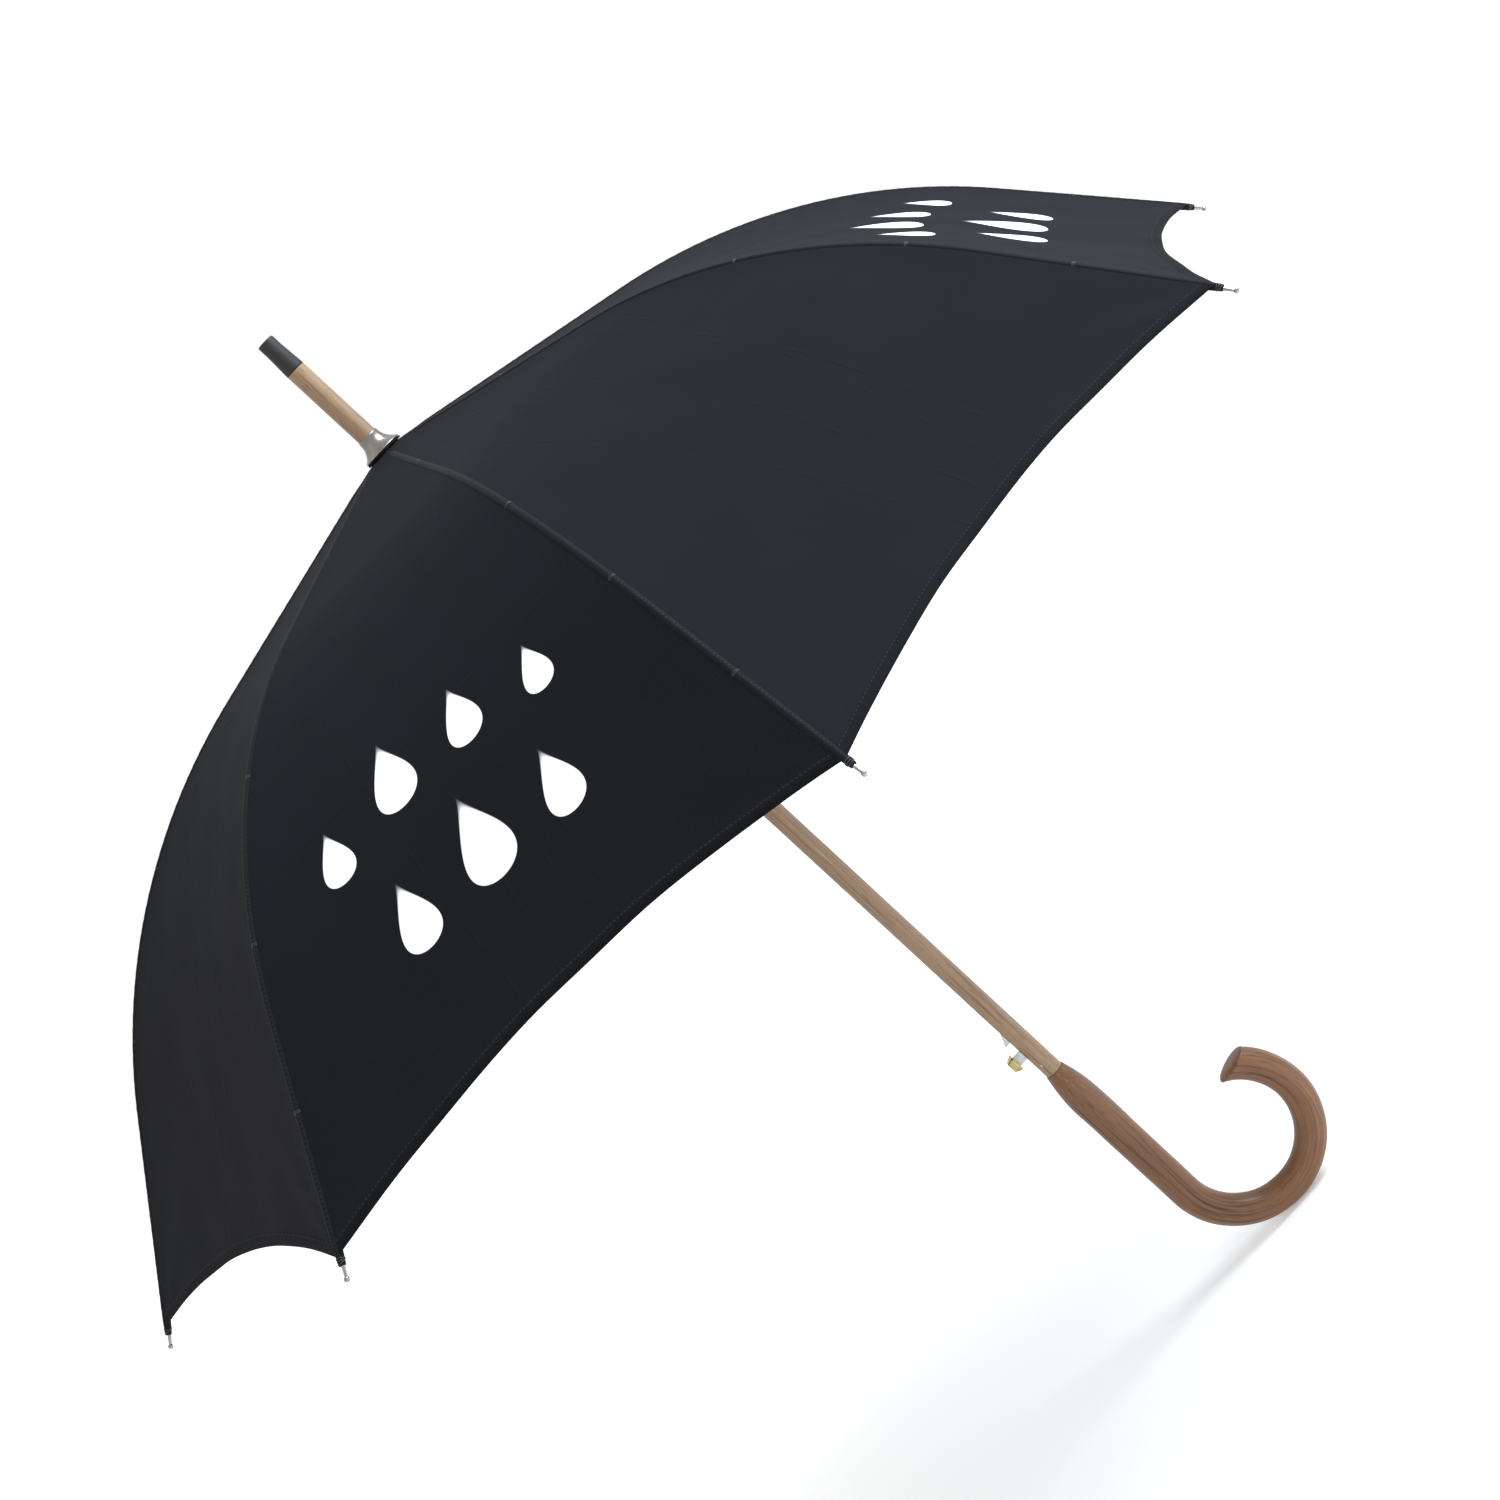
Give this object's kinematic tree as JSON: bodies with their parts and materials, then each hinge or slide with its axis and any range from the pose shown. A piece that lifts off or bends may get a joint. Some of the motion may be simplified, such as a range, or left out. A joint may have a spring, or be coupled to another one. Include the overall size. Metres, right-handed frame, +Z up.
{
  "type": "stick umbrella",
  "caption": "Auto-opening stick umbrella: domed black canopy on folding ribs, wooden shaft, crook handle and push-button catch.",
  "frame": {"origin": "on the shaft's axis in the middle of the grip", "axes": "+Z runs up the shaft to the ferrule, +X is the side to which the crook opens, and the release button is on the -X side"},
  "size_m": [1.0038, 1.0038, 0.8995],
  "materials": {
    "wood_shaft": "satin varnished ash",
    "wood_handle": "satin varnished, reddish brown",
    "black_plastic": "moulded, black",
    "nickel": "satin nickel plate",
    "black_cloth": "close-woven pongee",
    "black_ribs": "black enamel on steel",
    "chrome_tips": "polished",
    "spring_steel": "drawn wire",
    "catch_steel": "stamped",
    "brass_button": "polished rim, brushed facets",
    "hub_plastic": "moulded, black"
  },
  "bodies": {
    "stick": {"shaft": "wood_shaft", "crook_handle": "wood_handle", "ferrule_cap": "black_plastic", "bell_cup": "nickel", "crown_washer": "black_cloth", "top_notch": "hub_plastic", "notch_wire": "spring_steel", "notch_pin": "spring_steel", "collar_stop_pin": "spring_steel", "catch_pivot_pin": "spring_steel", "catch_spring": "spring_steel"},
    "catch": {"catch_lever": "catch_steel", "release_button": "brass_button"},
    "runner": {"runner": "hub_plastic", "runner_wire": "spring_steel", "opening_spring": "spring_steel"},
    "collar": {"spring_collar": "hub_plastic", "collar_wire": "spring_steel"},
    "rib_1": {"rib_1": "black_ribs", "rib_tip_1": "chrome_tips", "canopy_panel_1": "black_cloth"},
    "rib_2": {"rib_2": "black_ribs", "rib_tip_2": "chrome_tips", "canopy_panel_2": "black_cloth"},
    "rib_3": {"rib_3": "black_ribs", "rib_tip_3": "chrome_tips", "canopy_panel_3": "black_cloth"},
    "rib_4": {"rib_4": "black_ribs", "rib_tip_4": "chrome_tips", "canopy_panel_4": "black_cloth"},
    "rib_5": {"rib_5": "black_ribs", "rib_tip_5": "chrome_tips", "canopy_panel_5": "black_cloth", "closing_strap": "black_cloth"},
    "rib_6": {"rib_6": "black_ribs", "rib_tip_6": "chrome_tips", "canopy_panel_6": "black_cloth"},
    "rib_7": {"rib_7": "black_ribs", "rib_tip_7": "chrome_tips", "canopy_panel_7": "black_cloth"},
    "rib_8": {"rib_8": "black_ribs", "rib_tip_8": "chrome_tips", "canopy_panel_8": "black_cloth"},
    "stretcher_1": {"stretcher_1": "black_ribs"},
    "stretcher_2": {"stretcher_2": "black_ribs"},
    "stretcher_3": {"stretcher_3": "black_ribs"},
    "stretcher_4": {"stretcher_4": "black_ribs"},
    "stretcher_5": {"stretcher_5": "black_ribs"},
    "stretcher_6": {"stretcher_6": "black_ribs"},
    "stretcher_7": {"stretcher_7": "black_ribs"},
    "stretcher_8": {"stretcher_8": "black_ribs"},
    "strut_1": {"strut_1": "black_ribs"},
    "strut_2": {"strut_2": "black_ribs"},
    "strut_3": {"strut_3": "black_ribs"},
    "strut_4": {"strut_4": "black_ribs"},
    "strut_5": {"strut_5": "black_ribs"},
    "strut_6": {"strut_6": "black_ribs"},
    "strut_7": {"strut_7": "black_ribs"},
    "strut_8": {"strut_8": "black_ribs"}
  },
  "joints": [
    {"name": "runner_slide", "type": "slide", "parent": "stick", "child": "runner", "axis": [0, 0, 1], "range_m": [-0.23805, 0], "stiffness_N_per_m": 90, "springref_m": 0.22, "deforming": ["opening_spring"]},
    {"name": "collar_slide", "type": "slide", "parent": "stick", "child": "collar", "axis": [0, 0, 1], "range_m": [-0.28188, 0]},
    {"name": "catch_press", "type": "hinge", "parent": "stick", "child": "catch", "pos_m": [-0.003, 0, 0.088], "axis": [0, 1, 0], "range_deg": [0, 8.5], "stiffness_Nm_per_rad": 0.6, "springref_deg": -11.46, "deforming": ["catch_spring"]},
    {"name": "rib_1_fold", "type": "hinge", "parent": "stick", "child": "rib_1", "pos_m": [0.00986, 0.00165, 0.6805], "axis": [-0.165, 0.9863, 0], "range_deg": [0, 58.96], "deforming": ["canopy_panel_1"]},
    {"name": "stretcher_1_turn", "type": "hinge", "parent": "rib_1", "child": "stretcher_1", "pos_m": [0.21806, 0.03649, 0.63594], "axis": [-0.165, 0.9863, 0], "range_deg": [-90.63, 0]},
    {"name": "strut_1_turn", "type": "hinge", "parent": "stretcher_1", "child": "strut_1", "pos_m": [0.14466, 0.02421, 0.56187], "axis": [-0.165, 0.9863, 0], "range_deg": [-24.05, 0]},
    {"name": "rib_2_fold", "type": "hinge", "parent": "stick", "child": "rib_2", "pos_m": [0.00581, 0.00814, 0.6805], "axis": [-0.8141, 0.5807, 0], "range_deg": [0, 58.96], "deforming": ["canopy_panel_2"]},
    {"name": "stretcher_2_turn", "type": "hinge", "parent": "rib_2", "child": "stretcher_2", "pos_m": [0.12839, 0.17999, 0.63594], "axis": [-0.8141, 0.5807, 0], "range_deg": [-90.63, 0]},
    {"name": "strut_2_turn", "type": "hinge", "parent": "stretcher_2", "child": "strut_2", "pos_m": [0.08517, 0.1194, 0.56187], "axis": [-0.8141, 0.5807, 0], "range_deg": [-24.05, 0]},
    {"name": "rib_3_fold", "type": "hinge", "parent": "stick", "child": "rib_3", "pos_m": [-0.00165, 0.00986, 0.6805], "axis": [-0.9863, -0.165, 0], "range_deg": [0, 58.96], "deforming": ["canopy_panel_3"]},
    {"name": "stretcher_3_turn", "type": "hinge", "parent": "rib_3", "child": "stretcher_3", "pos_m": [-0.03649, 0.21806, 0.63594], "axis": [-0.9863, -0.165, 0], "range_deg": [-90.63, 0]},
    {"name": "strut_3_turn", "type": "hinge", "parent": "stretcher_3", "child": "strut_3", "pos_m": [-0.02421, 0.14466, 0.56187], "axis": [-0.9863, -0.165, 0], "range_deg": [-24.05, 0]},
    {"name": "rib_4_fold", "type": "hinge", "parent": "stick", "child": "rib_4", "pos_m": [-0.00814, 0.00581, 0.6805], "axis": [-0.5807, -0.8141, 0], "range_deg": [0, 58.96], "deforming": ["canopy_panel_4"]},
    {"name": "stretcher_4_turn", "type": "hinge", "parent": "rib_4", "child": "stretcher_4", "pos_m": [-0.17999, 0.12839, 0.63594], "axis": [-0.5807, -0.8141, 0], "range_deg": [-90.63, 0]},
    {"name": "strut_4_turn", "type": "hinge", "parent": "stretcher_4", "child": "strut_4", "pos_m": [-0.1194, 0.08517, 0.56187], "axis": [-0.5807, -0.8141, 0], "range_deg": [-24.05, 0]},
    {"name": "rib_5_fold", "type": "hinge", "parent": "stick", "child": "rib_5", "pos_m": [-0.00986, -0.00165, 0.6805], "axis": [0.165, -0.9863, 0], "range_deg": [0, 58.96], "deforming": ["canopy_panel_5", "closing_strap"]},
    {"name": "stretcher_5_turn", "type": "hinge", "parent": "rib_5", "child": "stretcher_5", "pos_m": [-0.21806, -0.03649, 0.63594], "axis": [0.165, -0.9863, 0], "range_deg": [-90.63, 0]},
    {"name": "strut_5_turn", "type": "hinge", "parent": "stretcher_5", "child": "strut_5", "pos_m": [-0.14466, -0.02421, 0.56187], "axis": [0.165, -0.9863, 0], "range_deg": [-24.05, 0]},
    {"name": "rib_6_fold", "type": "hinge", "parent": "stick", "child": "rib_6", "pos_m": [-0.00581, -0.00814, 0.6805], "axis": [0.8141, -0.5807, 0], "range_deg": [0, 58.96], "deforming": ["canopy_panel_6"]},
    {"name": "stretcher_6_turn", "type": "hinge", "parent": "rib_6", "child": "stretcher_6", "pos_m": [-0.12839, -0.17999, 0.63594], "axis": [0.8141, -0.5807, 0], "range_deg": [-90.63, 0]},
    {"name": "strut_6_turn", "type": "hinge", "parent": "stretcher_6", "child": "strut_6", "pos_m": [-0.08517, -0.1194, 0.56187], "axis": [0.8141, -0.5807, 0], "range_deg": [-24.05, 0]},
    {"name": "rib_7_fold", "type": "hinge", "parent": "stick", "child": "rib_7", "pos_m": [0.00165, -0.00986, 0.6805], "axis": [0.9863, 0.165, 0], "range_deg": [0, 58.96], "deforming": ["canopy_panel_7"]},
    {"name": "stretcher_7_turn", "type": "hinge", "parent": "rib_7", "child": "stretcher_7", "pos_m": [0.03649, -0.21806, 0.63594], "axis": [0.9863, 0.165, 0], "range_deg": [-90.63, 0]},
    {"name": "strut_7_turn", "type": "hinge", "parent": "stretcher_7", "child": "strut_7", "pos_m": [0.02421, -0.14466, 0.56187], "axis": [0.9863, 0.165, 0], "range_deg": [-24.05, 0]},
    {"name": "rib_8_fold", "type": "hinge", "parent": "stick", "child": "rib_8", "pos_m": [0.00814, -0.00581, 0.6805], "axis": [0.5807, 0.8141, 0], "range_deg": [0, 58.96], "deforming": ["canopy_panel_8"]},
    {"name": "stretcher_8_turn", "type": "hinge", "parent": "rib_8", "child": "stretcher_8", "pos_m": [0.17999, -0.12839, 0.63594], "axis": [0.5807, 0.8141, 0], "range_deg": [-90.63, 0]},
    {"name": "strut_8_turn", "type": "hinge", "parent": "stretcher_8", "child": "strut_8", "pos_m": [0.1194, -0.08517, 0.56187], "axis": [0.5807, 0.8141, 0], "range_deg": [-24.05, 0]}
  ],
  "couplings": [
    {"joint": "collar_slide", "follows": "runner_slide", "ratio": 1.184},
    {"joint": "rib_1_fold", "follows": "runner_slide", "rad_per_m": -4.3221},
    {"joint": "stretcher_1_turn", "follows": "runner_slide", "rad_per_m": 6.6439},
    {"joint": "strut_1_turn", "follows": "runner_slide", "rad_per_m": 1.7627},
    {"joint": "rib_2_fold", "follows": "runner_slide", "rad_per_m": -4.3221},
    {"joint": "stretcher_2_turn", "follows": "runner_slide", "rad_per_m": 6.6439},
    {"joint": "strut_2_turn", "follows": "runner_slide", "rad_per_m": 1.7627},
    {"joint": "rib_3_fold", "follows": "runner_slide", "rad_per_m": -4.3221},
    {"joint": "stretcher_3_turn", "follows": "runner_slide", "rad_per_m": 6.6439},
    {"joint": "strut_3_turn", "follows": "runner_slide", "rad_per_m": 1.7627},
    {"joint": "rib_4_fold", "follows": "runner_slide", "rad_per_m": -4.3221},
    {"joint": "stretcher_4_turn", "follows": "runner_slide", "rad_per_m": 6.6439},
    {"joint": "strut_4_turn", "follows": "runner_slide", "rad_per_m": 1.7627},
    {"joint": "rib_5_fold", "follows": "runner_slide", "rad_per_m": -4.3221},
    {"joint": "stretcher_5_turn", "follows": "runner_slide", "rad_per_m": 6.6439},
    {"joint": "strut_5_turn", "follows": "runner_slide", "rad_per_m": 1.7627},
    {"joint": "rib_6_fold", "follows": "runner_slide", "rad_per_m": -4.3221},
    {"joint": "stretcher_6_turn", "follows": "runner_slide", "rad_per_m": 6.6439},
    {"joint": "strut_6_turn", "follows": "runner_slide", "rad_per_m": 1.7627},
    {"joint": "rib_7_fold", "follows": "runner_slide", "rad_per_m": -4.3221},
    {"joint": "stretcher_7_turn", "follows": "runner_slide", "rad_per_m": 6.6439},
    {"joint": "strut_7_turn", "follows": "runner_slide", "rad_per_m": 1.7627},
    {"joint": "rib_8_fold", "follows": "runner_slide", "rad_per_m": -4.3221},
    {"joint": "stretcher_8_turn", "follows": "runner_slide", "rad_per_m": 6.6439},
    {"joint": "strut_8_turn", "follows": "runner_slide", "rad_per_m": 1.7627}
  ]
}
